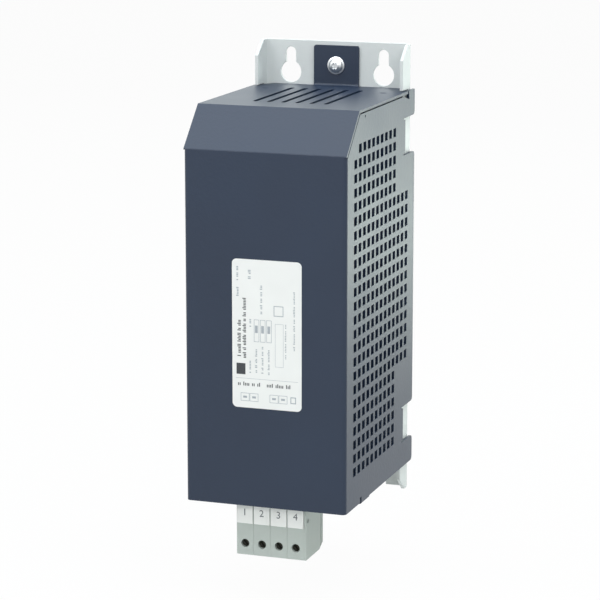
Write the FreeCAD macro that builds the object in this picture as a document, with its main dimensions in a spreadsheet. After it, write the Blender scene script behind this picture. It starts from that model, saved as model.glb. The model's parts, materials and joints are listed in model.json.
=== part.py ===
"""Harmonic filter for wall mounting.

A folded chassis carries a two-coil choke, two capacitors and a four-pole terminal strip.
A perforated hood, folded from one sheet, slides over it and is held by one screw.
Millimetres.  +X is to the right, +Y points back into the wall and +Z is up.  The origin
lies in the wall plane, midway across, level with the lower edge of the hood.
"""
import FreeCAD
import Part
import math
import os
import re
import Sketcher

# Driving sizes: name, value, meaning
SIZES = [
    ("hood_width", 96, "outer width of the hood"),
    ("hood_depth", 128, "wall plane to the front panel"),
    ("hood_height", 226, "lower edge to the top panel"),
    ("hood_sheet", 1.5, "sheet of the hood"),
    ("hood_slope", 22.5, "height and depth of the sloping panel"),
    ("hood_bend", 2.5, "outer radius of the front bends"),
    ("slope_bend", 1.2, "outer radius of the bends at the sloping panel"),
    ("cut_margin", 1, "how far cutting profiles run past the sheet"),
    ("wall_gap", 0.5, "rear edges of the side panels to the wall plane"),
    ("seam_gap", 0.8, "side panels to the top strip that lies over them"),
    ("seam_rear", 24, "wall plane to the rear end of the seam along the top"),
    ("top_setback", 14, "wall plane to the corners where the top panel narrows"),
    ("top_rear_width", 79.2, "top panel at its rear edge"),
    ("tab_width", 28, "fixing tab"),
    ("tab_height", 24, "fixing tab above the top panel"),
    ("tab_corner", 1.5, "corner radius of the tab"),
    ("tab_bend", 1.5, "inner radius of the tab's bend"),
    ("top_ear", 15, "height of the ear at the top of a side panel"),
    ("bottom_ear", 15.3, "height of the ear at the bottom of a side panel"),
    ("notch_height", 21.9, "gaps between the ears"),
    ("notch_depth", 18.5, "depth of those gaps from the panel's rear edge"),
    ("ear_radius", 2.4, "corners of the ears"),
    ("relief_width", 1.2, "bend relief cuts"),
    ("relief_depth", 3, "bend relief cuts"),
    ("ear_relief_rear", 11.4, "wall plane to the relief before the top ear"),
    ("ear_relief_drop", 5, "depth of that relief"),
    ("ear_relief_run", 4, "sloping edge in front of that relief"),
    ("stiffener_reach", 8, "tabs bent inwards beside the chassis flanges"),
    ("lip_front", 98.6, "wall plane to the front of the bottom lips"),
    ("lip_length", 14.5, "bottom lips along the side"),
    ("lip_reach", 10, "bottom lips inwards"),
    ("lip_bend", 1.35, "outer radius of the lips' bends"),
    ("lip_relief_height", 3.2, "relief cut in front of each lip"),
    ("vent_count", 6, "slots in the top panel"),
    ("vent_pitch", 8.5, "slot to slot"),
    ("vent_width", 2.8, "slot width"),
    ("vent_front", 86, "wall plane to the front ends of the slots"),
    ("vent_rear", 20, "wall plane to the rear ends of the slots"),
    ("hole_side", 5, "side of a square hole"),
    ("hole_pitch", 8, "hole to hole, both ways"),
    ("hole_front", 16, "front panel to the first column of holes"),
    ("hole_top", 21, "top panel to the first row of holes"),
    ("hole_bottom", 21, "least distance from the last row to the lower edge"),
    ("hole_rear", 40, "least distance from the long rows to the wall plane"),
    ("hole_middle_rear", 16, "the same for the rows between the notches"),
    ("hole_notch_margin", 24, "least distance from those rows to a notch"),
    ("chassis_sheet", 2, "sheet of the chassis"),
    ("chassis_clearance", 0.5, "chassis flanges to the hood's side panels"),
    ("chassis_rise", 26.4, "chassis above the top panel"),
    ("chassis_drop", 17, "chassis below the hood's lower edge"),
    ("chassis_bend", 2, "inner radius of the chassis bends"),
    ("flange_depth", 18, "chassis flanges from the wall plane"),
    ("flange_cut_depth", 10, "cut corners of the flanges, front to rear"),
    ("flange_cut_height", 8.4, "cut corners of the flanges, height"),
    ("keyhole_offset", 29, "keyholes from the middle"),
    ("keyhole_head", 6.5, "radius of the round part of a keyhole"),
    ("keyhole_slot", 3.2, "radius of the narrow part of a keyhole"),
    ("keyhole_drop", 19, "chassis top edge to the round part's centre"),
    ("keyhole_travel", 11.7, "round part's centre up to the slot end's centre"),
    ("foot_slot_height", 8, "open slots in the chassis' lower edge"),
    ("screw_rise", 12.2, "hood screw above the top panel"),
    ("screw_shank", 2.5, "radius of the hood screw's thread"),
    ("screw_head", 5.25, "radius of its head"),
    ("screw_head_height", 3.2, "height of its head"),
    ("screw_play", 0.3, "radial play of the screw in the tab"),
    ("thread_play", 0.05, "radial play of the screw in the chassis"),
    ("screw_end_gap", 0.3, "tip of the hood screw to the wall plane"),
    ("label_width", 41.3, "rating label"),
    ("label_height", 85.3, "rating label"),
    ("label_thickness", 0.2, "rating label"),
    ("label_corner", 2.7, "corner radius of the label"),
    ("label_shift", 1.3, "middle of the label from the middle of the hood"),
    ("label_low", 57.7, "hood's lower edge to the label"),
    ("bracket_sheet", 1.5, "sheet of the inner brackets"),
    ("bracket_width", 60, "inner brackets"),
    ("bracket_foot", 20, "feet of the brackets on the chassis"),
    ("seat_gap", 0.1, "pieces that clip or slide into each other"),
    ("shelf_rise", 2, "hood's lower edge to the terminal bracket"),
    ("rail_height", 14, "upright edge that the terminals hook over"),
    ("pole_count", 4, "terminal poles"),
    ("pole_pitch", 10.25, "pole to pole"),
    ("pole_gap", 0.05, "between neighbouring poles"),
    ("pole_shift", -0.2, "middle of the poles from the middle of the hood"),
    ("pole_front", 119, "wall plane to the terminals' front"),
    ("pole_depth", 29.5, "terminals, front to rear"),
    ("pole_drop", 32, "terminals below the hood's lower edge"),
    ("pole_cut_depth", 6, "cut lower rear corner, front to rear"),
    ("pole_cut_height", 3, "cut lower rear corner, height"),
    ("pole_top", 2, "terminals above the rail"),
    ("hook_reach", 1, "thickness of the hook over the rail"),
    ("hook_drop", 3, "hook behind the rail"),
    ("entry_width", 6.8, "wire entries in the terminals' underside"),
    ("entry_depth", 10, "wire entries, front to rear"),
    ("entry_height", 20, "wire entries, height"),
    ("entry_front", 10, "terminals' front to the wire entries"),
    ("pole_screw_rise", 6.8, "terminals' underside to the screw axes"),
    ("pole_screw_bore", 2.5, "radius of the screwdriver holes"),
    ("pole_screw_radius", 2.1, "radius of the terminal screws"),
    ("pole_screw_sides", 16, "flats that stand for the round of these holes and screws"),
    ("pole_screw_recess", 1.6, "terminals' front to the screw heads"),
    ("pole_screw_tip", 1.2, "screws' reach into the wire entries"),
    ("clamp_sheet", 0.8, "sheet of the wire clamps"),
    ("clamp_height", 9, "wire clamps"),
    ("clamp_rise", 2, "terminals' underside to the clamps"),
    ("tag_width", 9.6, "marker tags"),
    ("tag_height", 13, "marker tags"),
    ("tag_low", 13.2, "marker tags' lower edge below the hood's lower edge"),
    ("tag_thickness", 1.2, "marker tags"),
    ("tag_proud", 0.5, "marker tags in front of the terminals"),
    ("end_plate_sheet", 1.2, "cover plate of the last pole"),
    ("can_width", 26, "capacitors"),
    ("can_length", 60, "capacitors, front to rear"),
    ("can_height", 55, "capacitors"),
    ("can_rear", 18.5, "wall plane to the capacitors"),
    ("can_spacing", 4, "between the capacitors"),
    ("strap_sheet", 1, "steel strap over the capacitors"),
    ("strap_length", 12, "strap and its feet, front to rear"),
    ("strap_rear", 26, "wall plane to the strap"),
    ("resistor_width", 40, "discharge resistor"),
    ("resistor_side", 8, "discharge resistor, depth and height"),
    ("resistor_rear", 50, "wall plane to the resistor"),
    ("core_width", 68, "choke core"),
    ("core_stack", 70, "laminations, front to rear"),
    ("core_rear", 22, "wall plane to the core"),
    ("core_limb", 18, "width of the limbs"),
    ("core_yoke", 20, "height of the yokes"),
    ("core_window", 70, "height of the window"),
    ("core_low", 80, "hood's lower edge to the core"),
    ("core_lip", 10, "bracket edges that hold the core's front"),
    ("air_gap", 1, "spacers between the limbs and the upper yoke"),
    ("bobbin_play", 0.3, "limb to the bobbin"),
    ("bobbin_wall", 1.5, "bobbin"),
    ("bobbin_end_gap", 1, "bobbin to the yokes"),
    ("coil_build", 6.6, "thickness of the winding"),
    ("coil_corner", 3, "cut corners of the winding"),
    ("flange_margin", 0.4, "bobbin flanges past the winding"),
    ("lead_sheet", 1, "copper connecting strips"),
    ("lead_width", 5, "copper connecting strips"),
    ("lead_overlap", 10, "strips on the capacitors' tops"),
    ("lead_rise", 12, "strips beside the windings"),
    ("coil_lead_offset", 22, "coil strips from the middle"),
]
NAMES = {name for name, number, meaning in SIZES}

# Places worked out from the driving sizes
PLACES = {
    "half_width": "hood_width / 2",
    "side_inner": "half_width - hood_sheet",
    "mitre": "hood_sheet * (sqrt(2) - 1)",
    "slope_sum": "hood_depth + hood_height - hood_slope",
    "wall_top": "hood_height - hood_slope - mitre",
    "side_top": "hood_height - hood_sheet - seam_gap",
    "side_front_top": "hood_sheet - hood_depth + slope_sum - (hood_sheet + seam_gap) * sqrt(2)",
    "side_slope_end": "side_top - slope_sum + (hood_sheet + seam_gap) * sqrt(2)",
    "notch_front": "-wall_gap - notch_depth",
    "upper_notch_top": "hood_height - top_ear",
    "upper_notch_low": "upper_notch_top - notch_height",
    "lower_notch_top": "bottom_ear + notch_height",
    "chassis_half": "side_inner - chassis_clearance",
    "groove_rear": "-top_setback + chassis_clearance + (half_width - chassis_half + chassis_sheet)"
                   " * (top_setback - chassis_sheet) / (half_width - top_rear_width / 2)",
    "chassis_top": "hood_height + chassis_rise",
    "screw_height": "hood_height + screw_rise",
    "keyhole_height": "chassis_top - keyhole_drop",
    "first_row": "hood_height - hole_top",
    "first_column": "hole_front - hood_depth",
    "long_columns": "floor((-hole_rear - first_column) / hole_pitch + 0.001) + 1",
    "long_rows": "floor((first_row - hole_bottom) / hole_pitch + 0.001)",
    "middle_column": "first_column + long_columns * hole_pitch",
    "middle_columns": "floor((-hole_middle_rear - middle_column) / hole_pitch + 0.001) + 1",
    "middle_skip": "ceil((first_row - upper_notch_low + hole_notch_margin) / hole_pitch - 0.001)",
    "middle_row": "first_row - middle_skip * hole_pitch",
    "middle_rows": "floor((middle_row - lower_notch_top - hole_notch_margin) / hole_pitch + 0.001) + 1",
    "plate_front": "-chassis_sheet",
    "foot_front": "plate_front - bracket_sheet",
    "shelf_top": "shelf_rise + bracket_sheet",
    "rail_top": "shelf_top + rail_height",
    "pole_rear": "pole_depth - pole_front",
    "rail_front": "pole_rear",
    "rail_rear": "rail_front + bracket_sheet",
    "pole_upper": "rail_top + pole_top",
    "entry_near": "entry_front - pole_front",
    "entry_far": "entry_near + entry_depth",
    "pole_screw_height": "pole_screw_rise - pole_drop",
    "poles_left": "pole_shift - pole_count * pole_pitch / 2",
    "poles_right": "pole_shift + pole_count * pole_pitch / 2",
    "can_top": "shelf_top + can_height",
    "can_front": "-can_rear - can_length",
    "can_outer": "can_spacing / 2 + can_width",
    "core_front": "-core_rear - core_stack",
    "limb_low": "core_low + core_yoke",
    "limb_top": "limb_low + core_window",
    "yoke_low": "limb_top + air_gap",
    "core_top": "yoke_low + core_yoke",
    "limb_middle": "core_width / 2 - core_limb / 2",
    "tube_x": "core_limb / 2 + bobbin_play + bobbin_wall",
    "tube_y": "core_stack / 2 + bobbin_play + bobbin_wall",
    "stack_middle": "-core_rear - core_stack / 2",
    "bobbin_low": "limb_low + bobbin_end_gap",
    "bobbin_top": "limb_top - bobbin_end_gap",
    "coil_front": "stack_middle - tube_y - coil_build",
    "lead_front": "coil_front - flange_margin - seat_gap - 2 * lead_sheet",
}


def bound(text):
    """Write a size text as an expression on the sheet, with the named places opened up."""
    def open_word(match):
        word = match.group()
        if word in NAMES:
            return "dims." + word
        if word in PLACES:
            return "(" + bound(PLACES[word]) + ")"
        return word
    return re.sub(r"[a-z][a-z_0-9]*", open_word, text)


def number(text):
    """Value of a size text in millimetres."""
    return float(sheet.evalExpression(bound(text)))


doc = FreeCAD.newDocument("harmonic_filter")
sheet = doc.addObject("Spreadsheet::Sheet", "dims")
for row, (size_name, size, meaning) in enumerate(SIZES, start=1):
    sheet.set(f"A{row}", size_name)
    sheet.set(f"B{row}", str(size))
    sheet.set(f"C{row}", meaning)
    sheet.setAlias(f"B{row}", size_name)
doc.recompute()

nodes = []


def new_body(name):
    body = doc.addObject("PartDesign::Body", name)
    body.Label = name
    nodes.append(body)
    return body


def new_sketch(body, name, role, offset="0"):
    """Sketch on an origin plane of the body, moved along the plane's normal."""
    sketch = body.newObject("Sketcher::SketchObject", f"{body.Name}_{name}")
    plane = next(item for item in body.Origin.OriginFeatures if item.Role == role)
    sketch.AttachmentSupport = (plane, [""])
    sketch.MapMode = "FlatFace"
    sketch.setExpression("AttachmentOffset.Base.z", bound(offset))
    return sketch


def pin_point(sketch, element, vertex, across, along):
    """Tie a point of the sketch to its place from the sketch origin."""
    for kind, text in (("DistanceX", across), ("DistanceY", along)):
        constraint = Sketcher.Constraint(kind, -1, 1, element, vertex, number(text))
        index = sketch.addConstraint(constraint)
        sketch.setExpression(f"Constraints[{index}]", bound(text))


def add_polygon(sketch, points):
    first = sketch.GeometryCount
    corners = [FreeCAD.Vector(number(across), number(along), 0) for across, along in points]
    for start, end in zip(corners, corners[1:] + corners[:1]):
        sketch.addGeometry(Part.LineSegment(start, end))
    for step in range(len(points)):
        following = first + (step + 1) % len(points)
        sketch.addConstraint(Sketcher.Constraint("Coincident", first + step, 2, following, 1))
    for step, (across, along) in enumerate(points):
        pin_point(sketch, first + step, 1, across, along)


def add_rectangle(sketch, left, right, low, high):
    add_polygon(sketch, [(left, low), (right, low), (right, high), (left, high)])


def add_circle(sketch, across, along, radius):
    centre = FreeCAD.Vector(number(across), number(along), 0)
    circle = Part.Circle(centre, FreeCAD.Vector(0, 0, 1), number(radius))
    element = sketch.addGeometry(circle)
    pin_point(sketch, element, 3, across, along)
    index = sketch.addConstraint(Sketcher.Constraint("Radius", element, number(radius)))
    sketch.setExpression(f"Constraints[{index}]", bound(radius))


def add_slot(sketch, across, low, high, radius):
    """Upright slot with round ends, between two end centres."""
    middle, reach = number(across), number(radius)
    bottom, top = number(low), number(high)
    up = FreeCAD.Vector(0, 0, 1)
    left = sketch.addGeometry(Part.LineSegment(
        FreeCAD.Vector(middle - reach, bottom, 0), FreeCAD.Vector(middle - reach, top, 0)))
    right = sketch.addGeometry(Part.LineSegment(
        FreeCAD.Vector(middle + reach, top, 0), FreeCAD.Vector(middle + reach, bottom, 0)))
    upper = sketch.addGeometry(Part.ArcOfCircle(
        Part.Circle(FreeCAD.Vector(middle, top, 0), up, reach), 0, math.pi))
    lower = sketch.addGeometry(Part.ArcOfCircle(
        Part.Circle(FreeCAD.Vector(middle, bottom, 0), up, reach), math.pi, 2 * math.pi))
    joints = [(left, 2, upper, 2), (upper, 1, right, 1), (right, 2, lower, 2), (lower, 1, left, 1)]
    for joint in joints:
        sketch.addConstraint(Sketcher.Constraint("Tangent", *joint))
    for arc, height in ((upper, high), (lower, low)):
        pin_point(sketch, arc, 3, across, height)
        index = sketch.addConstraint(Sketcher.Constraint("Radius", arc, reach))
        sketch.setExpression(f"Constraints[{index}]", bound(radius))


def add_faceted_slot(sketch, across, low, high, radius):
    """Narrow upright slot whose round ends are drawn with four flats each."""
    corner = f"{radius} * sqrt(0.5)"
    add_polygon(sketch, [
        (f"{across} + {radius}", low), (f"{across} + {radius}", high),
        (f"{across} + {corner}", f"{high} + {corner}"), (across, f"{high} + {radius}"),
        (f"{across} - {corner}", f"{high} + {corner}"), (f"{across} - {radius}", high),
        (f"{across} - {radius}", low), (f"{across} - {corner}", f"{low} - {corner}"),
        (across, f"{low} - {radius}"), (f"{across} + {corner}", f"{low} - {corner}")])


def pad(body, sketch, length, both_ways=False):
    feature = body.newObject("PartDesign::Pad", sketch.Name + "_pad")
    feature.Profile = sketch
    feature.SideType = "Symmetric" if both_ways else "One side"
    feature.setExpression("Length", bound(length))
    return feature


def pocket(body, sketch, length="", backwards=False):
    """Cut a sketch right through both ways, or to a depth against its normal."""
    feature = body.newObject("PartDesign::Pocket", sketch.Name + "_cut")
    feature.Profile = sketch
    if length:
        feature.Reversed = backwards
        feature.setExpression("Length", bound(length))
    else:
        feature.Type = "ThroughAll"
        feature.SideType = "Symmetric"
    return feature


def fillet(body, name, radius, chosen):
    """Round the edges of the body so far for which chosen(edge) is true."""
    doc.recompute()
    base = body.Tip
    edges = [f"Edge{index}" for index, edge in enumerate(base.Shape.Edges, start=1) if chosen(edge)]
    feature = body.newObject("PartDesign::Fillet", f"{body.Name}_{name}")
    feature.Base = (base, edges)
    feature.setExpression("Radius", bound(radius))
    return feature


def faceted_round(body, kind, across, along, depth, radius, length):
    """Round rod or hole with flats, from a depth in front of the wall plane forwards."""
    feature = body.newObject(f"PartDesign::{kind}Prism", f"{body.Name}_{kind.lower()}_round")
    plane = next(item for item in body.Origin.OriginFeatures if item.Role == "XZ_Plane")
    feature.AttachmentSupport = (plane, [""])
    feature.MapMode = "FlatFace"
    for axis, text in (("x", across), ("y", along), ("z", depth)):
        feature.setExpression(f"AttachmentOffset.Base.{axis}", bound(text))
    feature.setExpression("Polygon", bound("pole_screw_sides"))
    feature.setExpression("Circumradius", bound(radius))
    feature.setExpression("Height", bound(length))
    return feature


def chamfer(body, name, size, chosen):
    """Cut the edges of the body so far for which chosen(edge) is true."""
    doc.recompute()
    base = body.Tip
    edges = [f"Edge{index}" for index, edge in enumerate(base.Shape.Edges, start=1) if chosen(edge)]
    feature = body.newObject("PartDesign::Chamfer", f"{body.Name}_{name}")
    feature.Base = (base, edges)
    feature.setExpression("Size", bound(size))
    return feature


def along_axis(edge, axis, **place):
    """True for a straight edge along an axis that passes through the given coordinates."""
    box = edge.BoundBox
    spans = {"x": box.XLength, "y": box.YLength, "z": box.ZLength}
    middles = {"x": box.Center.x, "y": box.Center.y, "z": box.Center.z}
    if any(spans[other] > 1e-6 for other in spans if other != axis):
        return False
    return spans[axis] > 1e-6 and all(abs(middles[key] - at) < 1e-4 for key, at in place.items())


def repeat(body, feature, sketch, across_count, along_count, pitch, downwards=False):
    """Repeat a cut in a grid along the sketch's own axes."""
    pattern = body.newObject("PartDesign::LinearPattern", sketch.Name + "_grid")
    pattern.Originals = [feature]
    pattern.Refine = False
    pattern.Direction = (sketch, ["H_Axis"])
    pattern.setExpression("Length", bound(f"({across_count} - 1) * {pitch}"))
    pattern.setExpression("Occurrences", bound(across_count))
    if along_count:
        pattern.Direction2 = (sketch, ["V_Axis"])
        pattern.Reversed2 = downwards
        pattern.setExpression("Length2", bound(f"({along_count} - 1) * {pitch}"))
        pattern.setExpression("Occurrences2", bound(along_count))
    body.Tip = pattern
    return pattern


def extruded(name, outline, left, right):
    """Piece of one section in the YZ plane, from left to right."""
    body = new_body(name)
    sketch = new_sketch(body, "section", "YZ_Plane", left)
    add_polygon(sketch, outline)
    pad(body, sketch, f"({right}) - ({left})")
    return body


def block(name, left, right, front, rear, low, high):
    """Rectangular piece between six faces."""
    solid = doc.addObject("Part::Box", name)
    solid.Label = name
    nodes.append(solid)
    spans = (("Length", "x", left, right), ("Width", "y", front, rear), ("Height", "z", low, high))
    for side, axis, start, end in spans:
        solid.setExpression(side, bound(f"({end}) - ({start})"))
        solid.setExpression(f"Placement.Base.{axis}", bound(start))
    return solid


def make_hood():
    """One sheet: front, sides, sloping strip, top and fixing tab."""
    body = new_body("hood")
    add_hood_walls(body)
    cut_side_outline(body)
    add_top_strip(body)
    add_bottom_lips(body)
    cut_vents(body)
    cut_perforation(body)


def add_hood_walls(body):
    """Front and side panels as one bent sheet, still square at the top."""
    plan = new_sketch(body, "plan", "XY_Plane")
    add_polygon(plan, [
        ("-half_width", "-hood_depth"), ("half_width", "-hood_depth"),
        ("half_width", "-wall_gap"), ("side_inner", "-wall_gap"),
        ("side_inner", "hood_sheet - hood_depth"), ("-side_inner", "hood_sheet - hood_depth"),
        ("-side_inner", "-wall_gap"), ("-half_width", "-wall_gap")])
    pad(body, plan, "hood_height")
    fillet(body, "outer_bends", "hood_bend", lambda edge: any(
        along_axis(edge, "z", x=side * number("half_width"), y=-number("hood_depth"))
        for side in (-1, 1)))
    fillet(body, "inner_bends", "hood_bend - hood_sheet", lambda edge: any(
        along_axis(edge, "z", x=side * number("side_inner"), y=number("hood_sheet - hood_depth"))
        for side in (-1, 1)))


def cut_side_outline(body):
    """Upper edge, ears, notches and bend reliefs of the side panels."""
    crown = new_sketch(body, "crown", "YZ_Plane")
    add_polygon(crown, [
        ("-hood_depth - cut_margin", "hood_height + cut_margin"),
        ("-hood_depth - cut_margin", "wall_top"),
        ("hood_sheet - hood_depth", "wall_top"), ("hood_sheet - hood_depth", "side_front_top"),
        ("side_slope_end", "side_top"), ("-seam_rear", "side_top"),
        ("-ear_relief_rear - ear_relief_run", "hood_height - ear_relief_drop + cut_margin"),
        ("-ear_relief_rear", "hood_height - ear_relief_drop"),
        ("-ear_relief_rear - cut_margin", "hood_height + cut_margin")])
    pocket(body, crown)
    stiffeners = new_sketch(body, "stiffeners", "XY_Plane", "bottom_ear + relief_width")
    raised = new_sketch(body, "upper_stiffeners", "XY_Plane", "upper_notch_low + relief_width")
    for sketch in (stiffeners, raised):
        for side in ("", "-"):
            add_rectangle(sketch, f"{side}(side_inner - stiffener_reach)", f"{side}side_inner",
                          "notch_front - hood_sheet", "notch_front")
        pad(body, sketch, "notch_height - 2 * relief_width")
    notches = new_sketch(body, "notches", "YZ_Plane")
    for low, high in (("bottom_ear", "lower_notch_top"), ("upper_notch_low", "upper_notch_top")):
        add_polygon(notches, [
            ("cut_margin", low), ("notch_front - relief_depth", low),
            ("notch_front - relief_depth", f"{low} + relief_width"),
            ("notch_front", f"{low} + relief_width"),
            ("notch_front", f"{high} - relief_width"),
            ("notch_front - relief_depth", f"{high} - relief_width"),
            ("notch_front - relief_depth", high), ("cut_margin", high)])
    pocket(body, notches)
    corners = ["0", "bottom_ear", "lower_notch_top", "upper_notch_low", "upper_notch_top"]
    fillet(body, "ear_corners", "ear_radius", lambda edge: any(
        along_axis(edge, "x", y=-number("wall_gap"), z=number(corner)) for corner in corners))


def add_top_strip(body):
    """Sloping panel and top over the side panels, with cut rear corners and the fixing tab."""
    strip = new_sketch(body, "strip", "YZ_Plane")
    add_polygon(strip, [
        ("-hood_depth", "wall_top"), ("-hood_depth", "hood_height - hood_slope"),
        ("hood_slope - hood_depth", "hood_height"), ("-top_setback", "hood_height"),
        ("-top_setback", "hood_height - hood_sheet"),
        ("hood_slope - hood_depth + mitre", "hood_height - hood_sheet"),
        ("hood_sheet - hood_depth", "wall_top")])
    pad(body, strip, "hood_width", both_ways=True)
    fillet(body, "slope_bends", "slope_bend", lambda edge: any(
        along_axis(edge, "x", y=number(along), z=number(height)) for along, height in (
            ("-hood_depth", "hood_height - hood_slope"),
            ("hood_slope - hood_depth", "hood_height"))))
    rear = new_sketch(body, "top_rear", "XY_Plane", "hood_height - hood_sheet")
    add_polygon(rear, [
        ("-half_width", "-top_setback"), ("half_width", "-top_setback"),
        ("top_rear_width / 2", "plate_front"), ("-top_rear_width / 2", "plate_front")])
    pad(body, rear, "hood_sheet")
    tab = new_sketch(body, "tab", "XZ_Plane", "-plate_front")
    add_rectangle(tab, "-tab_width / 2", "tab_width / 2", "hood_height - hood_sheet",
                  "hood_height + tab_height")
    pad(body, tab, "hood_sheet")
    fillet(body, "tab_bend", "tab_bend", lambda edge: along_axis(
        edge, "x", x=0, y=number("plate_front - hood_sheet"), z=number("hood_height")))
    fillet(body, "tab_corners", "tab_corner", lambda edge: any(
        along_axis(edge, "y", x=side * number("tab_width / 2"),
                   z=number("hood_height + tab_height")) for side in (-1, 1)))
    hole = new_sketch(body, "screw_hole", "XZ_Plane")
    add_circle(hole, "0", "screw_height", "screw_shank + screw_play")
    pocket(body, hole)


def add_bottom_lips(body):
    """Short lips bent inwards under the side panels, with a relief cut in front of each."""
    lips = new_sketch(body, "lips", "XY_Plane", "-hood_sheet")
    for side in ("", "-"):
        add_rectangle(lips, f"{side}(side_inner - lip_reach)", f"{side}half_width",
                      "-lip_front", "lip_length - lip_front")
    pad(body, lips, "hood_sheet")
    fillet(body, "lip_bends", "lip_bend", lambda edge: any(
        along_axis(edge, "y", x=side * number("half_width"), z=-number("hood_sheet"))
        for side in (-1, 1)))
    reliefs = new_sketch(body, "lip_reliefs", "YZ_Plane")
    add_rectangle(reliefs, "-lip_front - relief_depth", "-lip_front", "-cut_margin",
                  "lip_relief_height")
    pocket(body, reliefs)


def cut_vents(body):
    """Row of round-ended slots in the top panel."""
    vent = new_sketch(body, "vent", "XY_Plane", "hood_height")
    add_faceted_slot(vent, "-(vent_count - 1) * vent_pitch / 2", "vent_width / 2 - vent_front",
                     "-vent_width / 2 - vent_rear", "vent_width / 2")
    slot = pocket(body, vent, "hood_sheet")
    repeat(body, slot, vent, "vent_count", "", "vent_pitch")


def cut_perforation(body):
    """Square holes through both side panels, in three fields on one grid."""
    fields = [
        ("first_field", "first_column + hole_pitch", "first_row", "(long_columns - 1)", ""),
        ("middle_field", "middle_column", "middle_row", "middle_columns", "middle_rows"),
        ("long_field", "first_column", "first_row - hole_pitch", "long_columns", "long_rows"),
    ]
    cuts = []
    for name, column, row, columns, rows in fields:
        square = new_sketch(body, name, "YZ_Plane")
        add_rectangle(square, f"{column} - hole_side / 2", f"{column} + hole_side / 2",
                      f"{row} - hole_side / 2", f"{row} + hole_side / 2")
        cuts.append((pocket(body, square), square, columns, rows))
    for cut, square, columns, rows in cuts:
        repeat(body, cut, square, columns, rows, "hole_pitch", downwards=True)


def make_chassis():
    """Back plate and two flanges from one sheet, with keyholes and open foot slots.

    Grooves in the flanges take the hood's top panel as it slides in from the front.
    """
    body = new_body("mounting_chassis")
    plan = new_sketch(body, "plan", "XY_Plane", "-chassis_drop")
    inner = "(chassis_half - chassis_sheet)"
    add_polygon(plan, [
        ("-chassis_half", "-flange_depth"), ("-chassis_half", "0"), ("chassis_half", "0"),
        ("chassis_half", "-flange_depth"), (inner, "-flange_depth"), (inner, "plate_front"),
        (f"-{inner}", "plate_front"), (f"-{inner}", "-flange_depth")])
    pad(body, plan, "chassis_top + chassis_drop")
    fillet(body, "outer_bends", "chassis_bend + chassis_sheet", lambda edge: any(
        along_axis(edge, "z", x=side * number("chassis_half"), y=0) for side in (-1, 1)))
    fillet(body, "inner_bends", "chassis_bend", lambda edge: any(
        along_axis(edge, "z", x=side * number(inner), y=number("plate_front"))
        for side in (-1, 1)))
    cuts = new_sketch(body, "flange_cuts", "YZ_Plane")
    for edge, outside, inside in (("chassis_top", "+ cut_margin", "- flange_cut_height"),
                                  ("-chassis_drop", "- cut_margin", "+ flange_cut_height")):
        add_polygon(cuts, [
            ("-flange_depth", f"{edge} {inside}"), ("flange_cut_depth - flange_depth", edge),
            ("flange_cut_depth - flange_depth", f"{edge} {outside}"),
            ("-flange_depth - cut_margin", f"{edge} {outside}"),
            ("-flange_depth - cut_margin", f"{edge} {inside}")])
    pocket(body, cuts)
    grooves = new_sketch(body, "top_panel_grooves", "YZ_Plane")
    add_rectangle(grooves, "-flange_depth - cut_margin", "groove_rear",
                  "hood_height - hood_sheet - chassis_clearance", "hood_height + chassis_clearance")
    pocket(body, grooves)
    heads = new_sketch(body, "keyhole_heads", "XZ_Plane")
    slots = new_sketch(body, "keyhole_slots", "XZ_Plane")
    for side in ("", "-"):
        add_circle(heads, f"{side}keyhole_offset", "keyhole_height", "keyhole_head")
        add_slot(slots, f"{side}keyhole_offset", "keyhole_height",
                 "keyhole_height + keyhole_travel", "keyhole_slot")
        add_slot(slots, f"{side}keyhole_offset", "-chassis_drop - 2 * keyhole_slot",
                 "-chassis_drop + foot_slot_height", "keyhole_slot")
    add_circle(heads, "0", "screw_height", "screw_shank + thread_play")
    pocket(body, heads)
    pocket(body, slots)


def make_hood_screw():
    """Screw that holds the hood's tab on the chassis."""
    body = new_body("hood_screw")
    seat = "-plate_front + hood_sheet"
    head = new_sketch(body, "head", "XZ_Plane", seat)
    add_circle(head, "0", "screw_height", "screw_head")
    pad(body, head, "screw_head_height")
    shank = new_sketch(body, "shank", "XZ_Plane", "screw_end_gap")
    add_circle(shank, "0", "screw_height", "screw_shank")
    pad(body, shank, f"{seat} - screw_end_gap")


def make_label():
    body = new_body("rating_label")
    sheet_outline = new_sketch(body, "outline", "XZ_Plane", "hood_depth")
    add_rectangle(sheet_outline, "label_shift - label_width / 2", "label_shift + label_width / 2",
                  "label_low", "label_low + label_height")
    pad(body, sheet_outline, "label_thickness")
    fillet(body, "corners", "label_corner", lambda edge: along_axis(edge, "y"))


def make_terminal_bracket():
    """Shelf on the chassis whose front edge is the terminals' rail."""
    extruded("terminal_bracket", [
        ("plate_front", "shelf_rise"), ("plate_front", "shelf_rise + bracket_foot"),
        ("foot_front", "shelf_rise + bracket_foot"), ("foot_front", "shelf_top"),
        ("rail_rear", "shelf_top"), ("rail_rear", "rail_top"), ("rail_front", "rail_top"),
        ("rail_front", "shelf_rise")], "-bracket_width / 2", "bracket_width / 2")


def pole_outline():
    """Side view of a terminal: cut lower rear corner and a hook over the rail."""
    return [
        ("-pole_front", "-pole_drop"), ("pole_rear - pole_cut_depth", "-pole_drop"),
        ("pole_rear", "pole_cut_height - pole_drop"), ("pole_rear", "rail_top + seat_gap"),
        ("rail_rear + seat_gap", "rail_top + seat_gap"),
        ("rail_rear + seat_gap", "rail_top - hook_drop"),
        ("rail_rear + seat_gap + hook_reach", "rail_top - hook_drop"),
        ("rail_rear + seat_gap + hook_reach", "pole_upper"), ("-pole_front", "pole_upper")]


def pole_middle(place):
    """Middle of a pole, counted from 1 at the left."""
    return f"(poles_left + ({place} - 1 / 2) * pole_pitch)"


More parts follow.
